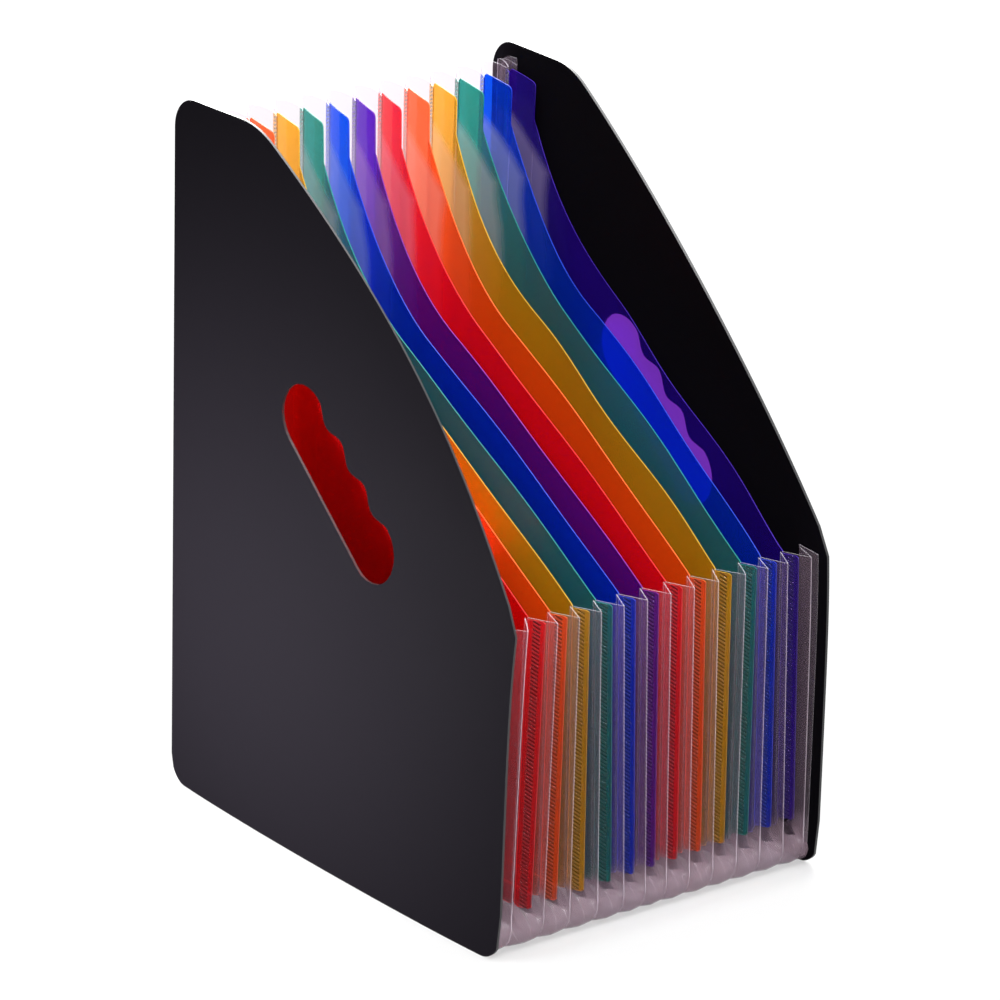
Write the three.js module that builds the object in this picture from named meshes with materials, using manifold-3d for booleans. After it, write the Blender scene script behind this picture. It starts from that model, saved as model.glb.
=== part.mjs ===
// An accordion file organizer standing open: two die-cut covers, a row of coloured divider
// sheets between them, and a clear pleated gusset that runs down the tall rear side, under
// the sheets and up the low front side. Sizes are in millimetres. X is the direction in
// which the file opens, +Y the tall rear side and +Z up. The file stands on Z = 0.
import * as THREE from "three";
import { mergeVertices } from "three/addons/utils/BufferGeometryUtils.js";
import Module from "manifold-3d";

// Pockets
const dividerCount = 12;
const pocketPitch = 13.7; // from one divider to the next with the file open
const firstPocket = 17.7; // from the front cover to the first divider
const lastPocket = 9.7; // from the last divider to the back cover
const seatGap = 0.3; // between sheets that are welded face to face

// Covers
const coverThickness = 1.2;
const coverHeight = 330;
const coverDepth = 250; // from the front edge to the rear edge
const frontEdgeHeight = 154;
const topEdgeLength = 61; // the level stretch at the top, before the slant
const slantBulge = 12.5; // how far the slanted edge bows out from a straight line
const tallCornerRadius = 15;
const slantCornerRadius = 12; // between the top edge and the slant
const frontCornerRadius = 4; // between the slant and the front edge
const footCornerRadius = 12;

// Hand hole in each cover, along the slanted edge
const handHoleLength = 100;
const handHoleWidth = 32;
const handHoleTilt = 41; // degrees down towards the front
const handHoleY = -1;
const handHoleZ = 183;
const fingerCount = 4;
const fingerDepth = 4.5; // of the dips between the fingers

// Gusset
const gussetThickness = 0.4;
const pleatDepth = 13.3; // from the valley folds out to the ridge folds
const ridgeInset = 6; // from the covers' edges in to the ridge folds
const ridgeLift = 1.2; // of the lowest ridge folds above the floor
const valleyCornerRadius = 4;
const gussetFrontTop = 148.8;
const gussetRearTop = 320;

// Dividers
const dividerThickness = 0.5;
const flapWidth = 9; // of the folded strip that is welded to the gusset
const flapLift = 4.5; // of the lower ends of the flaps above the bottom fold
const flapTopDrop = 1; // of the flaps' tops below the gusset's tops
const tabPeakHeight = 320.5; // top of the divider near the rear
const tabPeakInset = 4.5; // from the rear fold in to the peak
const tabWidth = 14.5; // from the peak to the drop
const tabSlope = 4.5; // fall of the tab's top edge
const tabDrop = 15; // of the upright edge below the tab
const tabCornerRadius = 2.5;
const waistY = 25; // the slanted edge's waist, where it is least steep
const waistZ = 228.5;
const steepAngle = 65.6; // degrees, of the slanted edge just under the tab
const waistAngle = 28.2;
const frontAngle = 33.7; // where it meets the front fold
const steepHandle = 37; // lengths of the curve's handles
const waistHandle = 29;
const frontHandle = 67;

// Facets
const arcSteps = 6;
const fingerSteps = 6; // for each finger of the hand hole

// Places worked out from the sizes
const halfDepth = coverDepth / 2;
const dividerSpan = (dividerCount - 1) * pocketPitch;
const innerFace = (firstPocket + dividerSpan + lastPocket) / 2; // of each cover, from the middle
const valleyY = halfDepth - ridgeInset - pleatDepth;
const valleyZ = ridgeLift + pleatDepth;
const dividerX = (index) => -innerFace + firstPocket + (index - 1) * pocketPitch;

// Colours and finishes
const plastic = (color, roughness, opacity = 1) =>
  new THREE.MeshStandardMaterial({
    color,
    roughness,
    metalness: 0,
    opacity,
    transparent: opacity < 1,
    side: THREE.DoubleSide,
  });
const coverBlack = plastic(0x1a191c, 0.5);
const clearGusset = plastic(0xdcdce4, 0.3, 0.4);
const dividerColors = [0xd8131c, 0xf2641a, 0xe0ab1c, 0x0f8c80, 0x1240c8, 0x6d1a94];
const lastDividerColor = 0x34108c;

const wasm = await Module();
wasm.setup();

// A closed three.js geometry as a manifold-3d solid.
function toSolid(geometry) {
  const bare = geometry.clone();
  bare.deleteAttribute("normal");
  bare.deleteAttribute("uv");
  const merged = mergeVertices(bare);
  return new wasm.Manifold(
    new wasm.Mesh({
      numProp: 3,
      vertProperties: merged.attributes.position.array,
      triVerts: new Uint32Array(merged.index.array),
    }),
  );
}

// A manifold-3d solid as a three.js geometry.
function toGeometry(solid) {
  const mesh = solid.getMesh();
  const geometry = new THREE.BufferGeometry();
  geometry.setAttribute("position", new THREE.BufferAttribute(mesh.vertProperties, 3));
  geometry.setIndex(new THREE.BufferAttribute(mesh.triVerts, 1));
  geometry.computeVertexNormals();
  return geometry;
}

// A flat sheet from an outline in Y and Z, its thickness centred on X = 0.
function sheetGeometry(outline, thickness) {
  const geometry = new THREE.ExtrudeGeometry(outline, {
    depth: thickness,
    bevelEnabled: false,
    curveSegments: arcSteps,
  });
  geometry.translate(0, 0, -thickness / 2);
  const axisX = new THREE.Vector3(0, 1, 0);
  const axisY = new THREE.Vector3(0, 0, 1);
  const axisZ = new THREE.Vector3(1, 0, 0);
  return geometry.applyMatrix4(new THREE.Matrix4().makeBasis(axisX, axisY, axisZ));
}

// A polyline as a closed outline of even thickness, with mitred corners.
function ribbon(line, thickness) {
  const normalOf = (a, b) => {
    const edge = b.clone().sub(a).normalize();
    return new THREE.Vector2(-edge.y, edge.x);
  };
  const side = (distance) =>
    line.map((point, i) => {
      const last = line.length - 1;
      const before = normalOf(line[Math.max(i - 1, 0)], line[Math.max(i, 1)]);
      const after = normalOf(line[Math.min(i, last - 1)], line[Math.min(i + 1, last)]);
      const mitre = before.clone().add(after).divideScalar(1 + before.dot(after));
      return point.clone().addScaledVector(mitre, distance);
    });
  const outline = [...side(thickness / 2), ...side(-thickness / 2).reverse()];
  return THREE.ShapeUtils.isClockWise(outline) ? outline.reverse() : outline;
}

// A section in X and outward distance, swept along stations that hold a point of the valley
// fold in Y and Z and the outward direction there.
function sweepGeometry(section, stations) {
  const count = section.length;
  const positions = stations.flatMap(({ point, outward }) =>
    section.flatMap(({ x, y: out }) => [x, point.x + outward.x * out, point.y + outward.y * out]),
  );
  const faces = [];
  for (let ring = 0; ring < stations.length - 1; ring++) {
    for (let i = 0; i < count; i++) {
      const a = ring * count + i;
      const b = ring * count + ((i + 1) % count);
      faces.push(a, a + count, b, b, a + count, b + count);
    }
  }
  const last = (stations.length - 1) * count;
  for (const [a, b, c] of THREE.ShapeUtils.triangulateShape(section, [])) {
    faces.push(a, b, c, last + a, last + c, last + b);
  }
  const geometry = new THREE.BufferGeometry();
  geometry.setAttribute("position", new THREE.Float32BufferAttribute(positions, 3));
  geometry.setIndex(faces);
  geometry.computeVertexNormals();
  return geometry;
}

const station = (y, z, angle) => ({
  point: new THREE.Vector2(y, z),
  outward: new THREE.Vector2(Math.cos(angle), Math.sin(angle)),
});

// The stations of the gusset's valley fold: down the rear side, round both lower corners
// and up the front side.
function gussetStations() {
  const r = valleyCornerRadius;
  const corner = (y, firstAngle) =>
    Array.from({ length: arcSteps + 1 }, (_, i) => {
      const angle = firstAngle - (i / arcSteps) * (Math.PI / 2);
      return station(y + r * Math.cos(angle), valleyZ + r + r * Math.sin(angle), angle);
    });
  return [
    station(valleyY, gussetRearTop, 0),
    ...corner(valleyY - r, 0),
    ...corner(-valleyY + r, -Math.PI / 2),
    station(-valleyY, gussetFrontTop, -Math.PI),
  ];
}

// The first panel of each pleat passes outside the flap of the divider that it is welded to.
const panelAngle = Math.atan((pocketPitch - gussetThickness - seatGap) / 2 / pleatDepth);
const weldOffset = dividerThickness / 2 + seatGap + gussetThickness / 2;
const valleyStart = new THREE.Vector2(
  -weldOffset * Math.cos(panelAngle),
  weldOffset * Math.sin(panelAngle),
);
const halfPleat = (pleatDepth - valleyStart.y) * Math.tan(panelAngle);
const ridgeFold = new THREE.Vector2(valleyStart.x + halfPleat, pleatDepth);
const valleyEnd = new THREE.Vector2(valleyStart.x + 2 * halfPleat, valleyStart.y);

// A pleat from divider `index` to the next one, in X measured from the first of the two.
function middlePleat() {
  return [valleyStart, ridgeFold, valleyEnd];
}

// The outermost pleats turn back into a strip that is welded flat to the cover. The first is
// measured from the front cover.
const stripX = seatGap + gussetThickness / 2;
const coverStrip = (x) => [new THREE.Vector2(x, 0), new THREE.Vector2(x, pleatDepth)];

function firstPleat() {
  const end = new THREE.Vector2(valleyEnd.x + firstPocket - pocketPitch, valleyEnd.y);
  const ridge = new THREE.Vector2((stripX + end.x) / 2, pleatDepth);
  return [...coverStrip(stripX).reverse(), ridge, end];
}

function lastPleat() {
  return [valleyStart, ridgeFold, ...coverStrip(lastPocket - stripX)];
}

function pleatSection(index) {
  const endPleats = { 0: firstPleat, [dividerCount]: lastPleat };
  const fold = endPleats[index] ?? middlePleat;
  return ribbon(fold(), gussetThickness);
}

function pleatGeometry(index) {
  return sweepGeometry(pleatSection(index), gussetStations());
}

// The direction that rises towards the rear at an angle in degrees.
function along(angle) {
  const radians = THREE.MathUtils.degToRad(angle);
  return new THREE.Vector2(Math.cos(radians), Math.sin(radians));
}

// The divider's own sheet: square at the folds, with a tab at the rear and a slanted edge that
// bends twice.
function dividerOutline() {
  const r = valleyCornerRadius;
  const peakY = valleyY - tabPeakInset;
  const tabFrontY = peakY - tabWidth;
  const tabFrontZ = tabPeakHeight - tabSlope;
  const slantTop = new THREE.Vector2(tabFrontY, tabFrontZ - tabDrop);
  const waist = new THREE.Vector2(waistY, waistZ);
  const slantFoot = new THREE.Vector2(-valleyY, gussetFrontTop);
  const handle = (point, angle, length) => point.clone().add(along(angle).multiplyScalar(length));
  const underTab = handle(slantTop, steepAngle, -steepHandle);
  const aboveWaist = handle(waist, waistAngle, waistHandle);
  const belowWaist = handle(waist, waistAngle, -waistHandle);
  const aboveFoot = handle(slantFoot, frontAngle, frontHandle);

  const outline = new THREE.Shape();
  outline.moveTo(-valleyY + r, valleyZ);
  outline.lineTo(valleyY - r, valleyZ);
  outline.absarc(valleyY - r, valleyZ + r, r, -Math.PI / 2, 0, false);
  outline.lineTo(valleyY, tabPeakHeight - tabPeakInset);
  outline.lineTo(peakY, tabPeakHeight);
  outline.lineTo(tabFrontY + tabCornerRadius, tabFrontZ);
  outline.quadraticCurveTo(tabFrontY, tabFrontZ, tabFrontY, tabFrontZ - tabCornerRadius);
  outline.lineTo(slantTop.x, slantTop.y);
  outline.bezierCurveTo(underTab.x, underTab.y, aboveWaist.x, aboveWaist.y, waist.x, waist.y);
  outline.bezierCurveTo(belowWaist.x, belowWaist.y, aboveFoot.x, aboveFoot.y, slantFoot.x, slantFoot.y);
  outline.lineTo(-valleyY, valleyZ + r);
  outline.absarc(-valleyY + r, valleyZ + r, r, Math.PI, Math.PI * 1.5, false);
  return outline;
}

// A divider with its two flaps, which fold out at the front and rear edges and lie along the
// inside of the gusset's panel. The flaps stop short of the lower corners.
function dividerGeometry() {
  const foldOverlap = 1; // how far the flap's section reaches back into the sheet
  const flapTip = new THREE.Vector2(Math.sin(panelAngle), Math.cos(panelAngle));
  const flapLine = [
    new THREE.Vector2(0, -foldOverlap),
    new THREE.Vector2(0, 0),
    flapTip.multiplyScalar(flapWidth),
  ];
  const section = ribbon(flapLine, dividerThickness);
  const lowEnd = valleyZ + flapLift;
  const flaps = [
    [station(valleyY, gussetRearTop - tabPeakInset - flapTopDrop, 0), station(valleyY, lowEnd, 0)],
    [station(-valleyY, lowEnd, Math.PI), station(-valleyY, gussetFrontTop - flapTopDrop, Math.PI)],
  ];
  let solid = toSolid(sheetGeometry(dividerOutline(), dividerThickness));
  for (const stations of flaps) {
    solid = solid.add(toSolid(sweepGeometry(section, stations)));
  }
  return toGeometry(solid);
}

// The hand hole: a slot with round ends, one straight side and one side dipped between the
// fingers.
function handHole() {
  const tilt = THREE.MathUtils.degToRad(180 + handHoleTilt);
  const halfWidth = handHoleWidth / 2;
  const endX = handHoleLength / 2 - halfWidth;
  const points = [];
  const end = (centreX, firstAngle) => {
    for (let i = 0; i <= 2 * arcSteps; i++) {
      const angle = firstAngle - (i / (2 * arcSteps)) * Math.PI;
      points.push(
        new THREE.Vector2(centreX + halfWidth * Math.cos(angle), halfWidth * Math.sin(angle)),
      );
    }
  };
  end(endX, Math.PI / 2);
  end(-endX, -Math.PI / 2);
  const dips = fingerCount - 1;
  const steps = dips * fingerSteps;
  for (let i = 1; i < steps; i++) {
    const share = i / steps;
    const dip = (fingerDepth / 2) * (1 - Math.cos(2 * Math.PI * dips * share));
    points.push(new THREE.Vector2(-endX + 2 * endX * share, halfWidth - dip));
  }
  const centre = new THREE.Vector2();
  // The slot is drawn with its fingers up. Turning it by the tilt puts its length along the
  // slant, and the mirroring keeps the fingers on the slant's side.
  const placed = points.map((p) =>
    new THREE.Vector2(p.x, -p.y)
      .rotateAround(centre, tilt)
      .add(new THREE.Vector2(handHoleY, handHoleZ)),
  );
  return new THREE.Path(placed);
}

// The cover's outline, round at every corner, with a slightly bowed slant.
function coverOutline() {
  const foot = footCornerRadius;
  const tall = tallCornerRadius;
  const slantTop = new THREE.Vector2(halfDepth - topEdgeLength, coverHeight);
  const slantFoot = new THREE.Vector2(-halfDepth, frontEdgeHeight);
  const slant = slantFoot.clone().sub(slantTop);
  const outwards = new THREE.Vector2(slant.y, -slant.x).normalize();
  const bow = slantTop.clone().lerp(slantFoot, 0.5).addScaledVector(outwards, 2 * slantBulge);
  const start = slantTop.clone().lerp(bow, slantCornerRadius / slantTop.distanceTo(bow));
  const finish = slantFoot.clone().lerp(bow, frontCornerRadius / slantFoot.distanceTo(bow));

  const outline = new THREE.Shape();
  outline.moveTo(-halfDepth + foot, 0);
  outline.lineTo(halfDepth - foot, 0);
  outline.absarc(halfDepth - foot, foot, foot, -Math.PI / 2, 0, false);
  outline.lineTo(halfDepth, coverHeight - tall);
  outline.absarc(halfDepth - tall, coverHeight - tall, tall, 0, Math.PI / 2, false);
  outline.lineTo(slantTop.x + slantCornerRadius, coverHeight);
  outline.quadraticCurveTo(slantTop.x, slantTop.y, start.x, start.y);
  outline.quadraticCurveTo(bow.x, bow.y, finish.x, finish.y);
  outline.quadraticCurveTo(slantFoot.x, slantFoot.y, -halfDepth, frontEdgeHeight - frontCornerRadius);
  outline.lineTo(-halfDepth, foot);
  outline.absarc(-halfDepth + foot, foot, foot, Math.PI, Math.PI * 1.5, false);
  outline.holes.push(handHole());
  return outline;
}

function addPiece(group, name, geometry, material, x) {
  const mesh = new THREE.Mesh(geometry, material);
  mesh.name = name;
  mesh.position.x = x;
  group.add(mesh);
}

const twoDigits = (number) => String(number).padStart(2, "0");

function addCovers(group) {
  const geometry = sheetGeometry(coverOutline(), coverThickness);
  const coverX = innerFace + coverThickness / 2;
  addPiece(group, "front_cover", geometry, coverBlack, -coverX);
  addPiece(group, "back_cover", geometry, coverBlack, coverX);
}

function addDividers(group) {
  const geometry = dividerGeometry();
  for (let index = 1; index <= dividerCount; index++) {
    const isLast = index === dividerCount;
    const color = isLast ? lastDividerColor : dividerColors[(index - 1) % dividerColors.length];
    addPiece(group, `divider_${twoDigits(index)}`, geometry, plastic(color, 0.35), dividerX(index));
  }
}

function addGusset(group) {
  for (let index = 0; index <= dividerCount; index++) {
    const startX = index === 0 ? -innerFace : dividerX(index);
    addPiece(group, `gusset_pleat_${twoDigits(index)}`, pleatGeometry(index), clearGusset, startX);
  }
}

const organizer = new THREE.Group();
organizer.name = "accordion_file_organizer";
addCovers(organizer);
addDividers(organizer);
addGusset(organizer);

export default organizer;
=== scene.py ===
"""Looks for an accordion file organizer: bowed black covers, twelve tinted divider sheets that
lean and ripple a little, and a clear pleated gusset. Lengths are written in millimetres and put
into the meshes in metres. X runs from the front cover to the back cover, +Y to the tall rear
side and +Z up."""
import math

import bpy
import numpy as np
from mathutils import Matrix, Vector

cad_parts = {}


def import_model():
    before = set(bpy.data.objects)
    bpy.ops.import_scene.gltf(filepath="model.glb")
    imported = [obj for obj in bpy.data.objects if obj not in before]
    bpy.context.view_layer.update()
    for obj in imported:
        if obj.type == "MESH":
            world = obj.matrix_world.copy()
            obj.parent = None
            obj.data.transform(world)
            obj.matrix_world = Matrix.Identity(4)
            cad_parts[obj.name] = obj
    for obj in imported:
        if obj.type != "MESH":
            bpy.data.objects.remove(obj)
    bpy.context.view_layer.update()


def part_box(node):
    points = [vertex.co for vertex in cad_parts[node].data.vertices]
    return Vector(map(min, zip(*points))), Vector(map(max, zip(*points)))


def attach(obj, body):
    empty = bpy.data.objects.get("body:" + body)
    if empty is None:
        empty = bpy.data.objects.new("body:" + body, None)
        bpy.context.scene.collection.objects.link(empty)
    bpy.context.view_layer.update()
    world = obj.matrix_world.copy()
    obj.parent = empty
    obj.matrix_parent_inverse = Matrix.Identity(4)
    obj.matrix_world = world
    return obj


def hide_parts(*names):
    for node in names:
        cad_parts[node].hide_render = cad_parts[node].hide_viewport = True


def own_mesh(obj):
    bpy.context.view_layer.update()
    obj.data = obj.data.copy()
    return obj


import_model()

MM = 0.001
WHITE = (1.0, 1.0, 1.0, 1.0)
DIVIDERS = 12

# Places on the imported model
VALLEY_Y = 105.7  # of the folds where the sheets are welded to the gusset
VALLEY_Z = 14.5
VALLEY_CORNER = 4.0  # radius of those folds at the lower corners
FRONT_TOP = 148.8  # tops of the folds
REAR_TOP = 320.5
COVER_HALF_DEPTH = 125.0
COVER_TOP = 330.0
COVER_FRONT = 154.0  # height of the slant's front end
COVER_TOP_EDGE = 61.0  # length of the level edge at the top
PLEAT_DEPTH = 13.3
WELD_X = 0.674  # from a sheet to the gusset's panel that is welded to it
WELD_OUT = 0.329
PANEL_ANGLE = math.radians(26.05)
RIDGE_X = 5.665  # from a sheet to the ridge fold after it
PANEL_END_X = 12.004
SEAM_GAP = 1.05  # between one pleat's last panel and the next one's first
STRIP_X = 0.5  # from a cover to the gusset's strip on it
COVER_THICKNESS = 1.2
SHEET_THICKNESS = 0.5
GUSSET_THICKNESS = 0.4


def box_mm(node):
    """The lowest and highest corner of a CAD node, in millimetres."""
    return [np.array(corner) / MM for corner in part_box(node)]


def divider_name(k):
    """The CAD node and body of divider k, counted from the front cover."""
    return f"divider_{k:02d}"


def pleat_name(k):
    """The CAD node of the pleat after divider k, or after the front cover for 0."""
    return f"gusset_pleat_{k:02d}"


# X of the front cover's inner face, of the sheets one after another and of the back cover's
# inner face. The pocket coordinate k counts along these places.
FOLD_X = np.array(
    [box_mm("front_cover")[1][0]]
    + [box_mm(divider_name(k))[0][0] + SHEET_THICKNESS / 2 for k in range(1, DIVIDERS + 1)]
    + [box_mm("back_cover")[0][0]]
)
LAST_FOLD = DIVIDERS + 1

# Widths of the pockets, from one place in the row to the next
POCKET_WIDTHS = np.diff(FOLD_X)


# How the open file stands: shifts in X of the corners of the sheet at place k in the row
REAR_TOP_FAN = 0.98  # of the rear top corners, from one sheet to the next
REAR_TOP_STILL = 7.3  # place in the row where they don't shift
FRONT_TOP_PUSH = 8.0  # of the front top corners, next to the front cover
FRONT_TOP_FADE = 3.2  # places in which most of that is lost
FRONT_TOP_DRIFT = 0.13  # back again, from one sheet to the next
FRONT_TOP_GAP = 2.6  # more, close to one place
FRONT_TOP_GAP_PLACE = 9.8
FRONT_LOW_PUSH = 2.6  # of the front lower corners
FRONT_LOW_SWELL = 3.6  # more, around one place
FRONT_LOW_SWELL_PLACE = 4.3
FRONT_LOW_SWELL_SPREAD = 1.6
PAST_EDGE = 0.1  # share of a sheet's size by which the shifts go on outside it
PAST_FOOT = 0.2


def lean(k, y, z):
    """How far a point of the row of sheets stands from its flat place, in X. The four corners
    of a sheet shift by amounts that depend on its place k in the row, and the shift is linear
    between the corners; it fades out in the first and last pocket."""
    front = np.clip((VALLEY_Y - y) / (2 * VALLEY_Y), -PAST_EDGE, 1 + PAST_EDGE)
    top = REAR_TOP + (FRONT_TOP - REAR_TOP) * front
    high = np.clip((z - VALLEY_Z) / (top - VALLEY_Z), -PAST_FOOT, 1 + PAST_EDGE)
    push = FRONT_TOP_PUSH * np.exp(-k / FRONT_TOP_FADE)
    gap = FRONT_TOP_GAP * np.exp(-((k - FRONT_TOP_GAP_PLACE) ** 2))
    swell = np.exp(-(((k - FRONT_LOW_SWELL_PLACE) / FRONT_LOW_SWELL_SPREAD) ** 2))
    rear_top = REAR_TOP_FAN * (k - REAR_TOP_STILL)
    front_top = push - FRONT_TOP_DRIFT * k + gap
    front_low = FRONT_LOW_PUSH + FRONT_LOW_SWELL * swell
    rear = rear_top * high
    fore = front_low * (1 - high) + front_top * high
    free = np.clip(np.minimum(k, LAST_FOLD - k), 0, 1)
    return free * ((1 - front) * rear + front * fore)


FRONT_BOW = 6.4  # of the front cover's slant towards the sheets
FRONT_BOW_SKEW = 1.9  # power of the distance from the rear, above 1 for a bow further forward
BACK_BOW = 6.2
BACK_BOW_SKEW = 1.4
BOW_POWER = 6  # of the height, by which the bow dies out below the upper edge
FRONT_PINCH = 2.6  # of the covers' upper front corners, towards the sheets
FRONT_PINCH_POWER = 6
BACK_PINCH = 1.9
BACK_PINCH_POWER = 5
FRONT_SPLAY = 5.0  # of the front cover's foot, away from the sheets
SPLAY_POWER = 4  # by which it sets in at the rear
SPLAY_LOSS = 0.6  # share of the splay that is missing at the front edge
SPLAY_LOSS_POWER = 6
HOLE_SWELL = 0.8  # of the covers' middles, away from the sheets


def cover_top(y):
    """Height of a cover's upper edge."""
    return np.interp(y, SLANT_LINE[:, 0], SLANT_LINE[:, 1])


def cover_bow(y, z, side):
    """How far a cover bows towards the sheets: a half wave along its upper edge, skewed to
    the front and dying out quickly below it, and a pinch at the upper front corner, less a
    slight swell round the hand hole and the splay of the front cover's foot."""
    across = np.clip((COVER_HALF_DEPTH - y) / (2 * COVER_HALF_DEPTH), 0, 1)
    high = np.clip(z / cover_top(y), 0, 1)
    low = np.clip(1 - z / FRONT_TOP, 0, 1)
    if side < 0:
        edge = FRONT_BOW * np.sin(np.pi * across**FRONT_BOW_SKEW)
        edge = edge + FRONT_PINCH * across**FRONT_PINCH_POWER
        splay = FRONT_SPLAY * (1 - (1 - across) ** SPLAY_POWER) * low
        splay = splay * (1 - SPLAY_LOSS * across**SPLAY_LOSS_POWER)
    else:
        edge = BACK_BOW * np.sin(np.pi * across**BACK_BOW_SKEW)
        edge = edge + BACK_PINCH * across**BACK_PINCH_POWER
        splay = 0
    swell = HOLE_SWELL * np.sin(np.pi * across) * np.sin(np.pi * high)
    return edge * high**BOW_POWER - swell - splay


def settle(k, y, z):
    """The whole shift in X of a point at place k in the row: the lean of the sheets, and the
    bow of the nearest cover in the first and last pocket."""
    near_front = np.clip(1 - k, 0, 1)
    near_back = np.clip(k - DIVIDERS, 0, 1)
    return lean(k, y, z) + cover_bow(y, z, -1) * near_front - cover_bow(y, z, 1) * near_back


# Meshes
CRISP_ANGLE = math.radians(38)  # above which an edge is shaded sharp


class Skin:
    """Several grids of points that make one mesh. Each grid has a pair of pattern coordinates
    in millimetres, and a mark that is 1 on a fold."""

    def __init__(self):
        self.points, self.uv, self.fold, self.faces = [], [], [], []
        self.count = 0

    def add(self, x, y, z, u, v, fold=0.0, closed=False):
        """Adds a grid; a closed one joins its last column to its first."""
        x, y, z, u, v, fold = np.broadcast_arrays(x, y, z, u, v, fold)
        rows, columns = x.shape
        index = np.arange(rows * columns).reshape(rows, columns) + self.count
        if closed:
            index = np.concatenate([index, index[:, :1]], axis=1)
        corners = [index[:-1, :-1], index[:-1, 1:], index[1:, 1:], index[1:, :-1]]
        self.faces.append(np.stack(corners, axis=-1).reshape(-1, 4))
        self.points.append(np.stack([x, y, z], axis=-1).reshape(-1, 3) * MM)
        self.uv.append(np.stack([u, v], axis=-1).reshape(-1, 2))
        self.fold.append(fold.reshape(-1))
        self.count += rows * columns

    def build(self, name, thickness, materials):
        """Makes the object, with a live wall thickness and crisp edges. The first material is
        for its faces and the second for its cut edges."""
        points = np.concatenate(self.points)
        faces = np.concatenate(self.faces)
        mesh = bpy.data.meshes.new(name)
        mesh.from_pydata(points.tolist(), [], faces.tolist())
        pattern = mesh.uv_layers.new(name="pattern")
        pattern.uv.foreach_set("vector", np.concatenate(self.uv)[faces.ravel()].ravel())
        mark = mesh.attributes.new("fold", "FLOAT", "POINT")
        mark.data.foreach_set("value", np.concatenate(self.fold).astype(np.float32))
        mesh.polygons.foreach_set("use_smooth", np.ones(len(faces), bool))
        for material in materials:
            mesh.materials.append(material)
        mesh.update()
        made = bpy.data.objects.new(name, mesh)
        bpy.context.scene.collection.objects.link(made)
        wall = made.modifiers.new("wall", "SOLIDIFY")
        wall.thickness = thickness * MM
        wall.offset = 0
        wall.material_offset_rim = 1
        crisp = made.modifiers.new("crisp_edges", "EDGE_SPLIT")
        crisp.split_angle = CRISP_ANGLE
        return made


def arch(start, aim, finish, steps):
    """Points of a quadratic curve from start to finish, whose ends both aim at one point."""
    t = np.linspace(0, 1, steps + 1)[:, None]
    start, aim, finish = (np.array(p, float) for p in (start, aim, finish))
    return (1 - t) ** 2 * start + 2 * (1 - t) * t * aim + t**2 * finish


def bezier(p0, p1, p2, p3, steps):
    """Points of a cubic curve from p0 to p3, whose ends aim at p1 and p2."""
    t = np.linspace(0, 1, steps + 1)[:, None]
    p0, p1, p2, p3 = (np.array(p, float) for p in (p0, p1, p2, p3))
    return (1 - t) ** 3 * p0 + 3 * (1 - t) ** 2 * t * p1 + 3 * (1 - t) * t**2 * p2 + t**3 * p3


def step_towards(start, aim, length):
    """The point at a length from start, on the way to aim."""
    start, aim = np.array(start, float), np.array(aim, float)
    return start + (aim - start) * length / np.linalg.norm(aim - start)


# The covers
HOLE_Y = -1.0
HOLE_Z = 183.0
HOLE_TILT = math.radians(41)
HOLE_HALF_LENGTH = 50.0
HOLE_HALF_WIDTH = 16.0
HOLE_STRAIGHT = HOLE_HALF_LENGTH - HOLE_HALF_WIDTH  # half the length of its straight sides
FINGER_DIPS = 3
FINGER_DEPTH = 4.5
SIDE_TOLERANCE = 0.5  # how far off its straight side a point still counts as on it
SLANT_BULGE = 12.5
FOOT_ROUND = 12.0
TALL_ROUND = 15.0
SLANT_ROUND = 12.0
FRONT_ROUND = 4.0

# How fine the covers' grid is
CORNER_STEPS = 12
SLANT_STEPS = 39
SIDE_STEPS = 36
EVEN_COLUMNS = 160
MIN_TURN = 0.006  # between neighbouring columns of a cover, seen from the hand hole
OUTLINE_SPACING = 1.2
COVER_RINGS = 26
RING_POWER = 1.15  # above 1 for rings that lie closer together near the hand hole


def round_corner(before, corner, after, radius):
    """A corner rounded by a quadratic curve that starts and ends `radius` from it."""
    start = step_towards(corner, before, radius)
    finish = step_towards(corner, after, radius)
    return arch(start, corner, finish, CORNER_STEPS)


def arc_corner(y, z, radius, first_angle, turn=math.pi / 2):
    """Points of an arc about (y, z)."""
    angle = first_angle + np.linspace(0, turn, CORNER_STEPS + 1)
    return np.stack([y + radius * np.cos(angle), z + radius * np.sin(angle)], axis=1)


def cover_outline():
    """The cover's outline as points in Y and Z, from the foot's rear corner up, along the slant
    and back down to the foot. The slant is one quadratic curve."""
    d = COVER_HALF_DEPTH
    top = np.array([d - COVER_TOP_EDGE, COVER_TOP])
    foot = np.array([-d, COVER_FRONT])
    slant = foot - top
    outwards = np.array([slant[1], -slant[0]]) / np.linalg.norm(slant)
    bow = (top + foot) / 2 + outwards * 2 * SLANT_BULGE
    start = step_towards(top, bow, SLANT_ROUND)
    finish = step_towards(foot, bow, FRONT_ROUND)
    return np.concatenate(
        [
            arc_corner(d - FOOT_ROUND, FOOT_ROUND, FOOT_ROUND, -math.pi / 2),
            arc_corner(d - TALL_ROUND, COVER_TOP - TALL_ROUND, TALL_ROUND, 0),
            round_corner([d, COVER_TOP], top, bow, SLANT_ROUND),
            arch(start, bow, finish, SLANT_STEPS)[1:-1],
            round_corner(bow, foot, [-d, 0], FRONT_ROUND),
            arc_corner(-d + FOOT_ROUND, FOOT_ROUND, FOOT_ROUND, math.pi),
        ]
    )


# The cover's upper edge from front to rear
SLANT_LINE = cover_outline()[CORNER_STEPS + 1 : -CORNER_STEPS - 1][::-1]


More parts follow.
